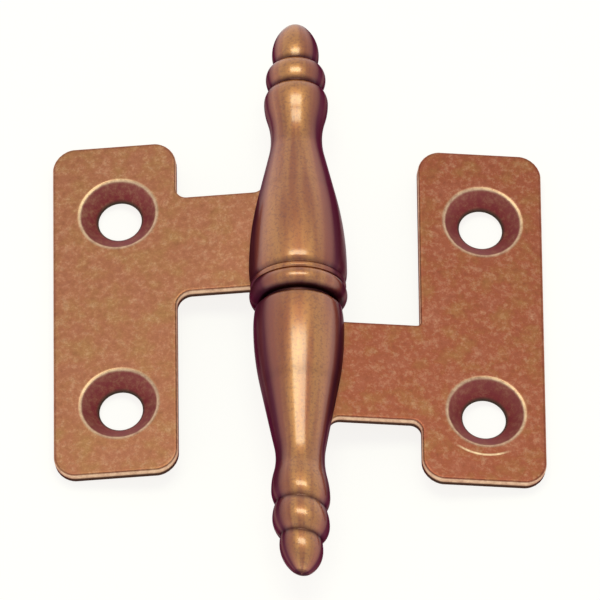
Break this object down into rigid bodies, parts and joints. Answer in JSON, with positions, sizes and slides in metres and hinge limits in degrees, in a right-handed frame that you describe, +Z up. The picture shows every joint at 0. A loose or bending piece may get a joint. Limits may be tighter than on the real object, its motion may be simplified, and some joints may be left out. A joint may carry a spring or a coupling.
{
  "type": "cabinet hinge",
  "caption": "Lift-off cabinet hinge with turned vase-shaped finial knuckles and flat countersunk leaves, lying open.",
  "frame": {"origin": "bottom centre of the hinge's box, as it lies open on a flat surface with its front faces up", "axes": "+Y along the pin towards the upper knuckle, +Z up from the surface, +X towards the lower leaf"},
  "size_m": [0.0494, 0.0638, 0.0099],
  "materials": {
    "leaf": "satin antique copper",
    "knuckle": "polished antique copper",
    "ring": "polished antique copper",
    "pin": "ground steel"
  },
  "bodies": {
    "lower_half": {"lower_leaf": "leaf", "lower_knuckle": "knuckle", "hinge_pin": "pin"},
    "ring": {"bearing_ring": "ring"},
    "upper_half": {"upper_leaf": "leaf", "upper_knuckle": "knuckle"}
  },
  "joints": [
    {"name": "swing", "type": "hinge", "parent": "lower_half", "child": "ring", "pos_m": [0, -0.00154, 0.00495], "axis": [0, 1, 0], "range_deg": [-145, 194.18]},
    {"name": "lift_off", "type": "slide", "parent": "ring", "child": "upper_half", "axis": [0, 1, 0], "range_m": [0, 0.016]}
  ]
}
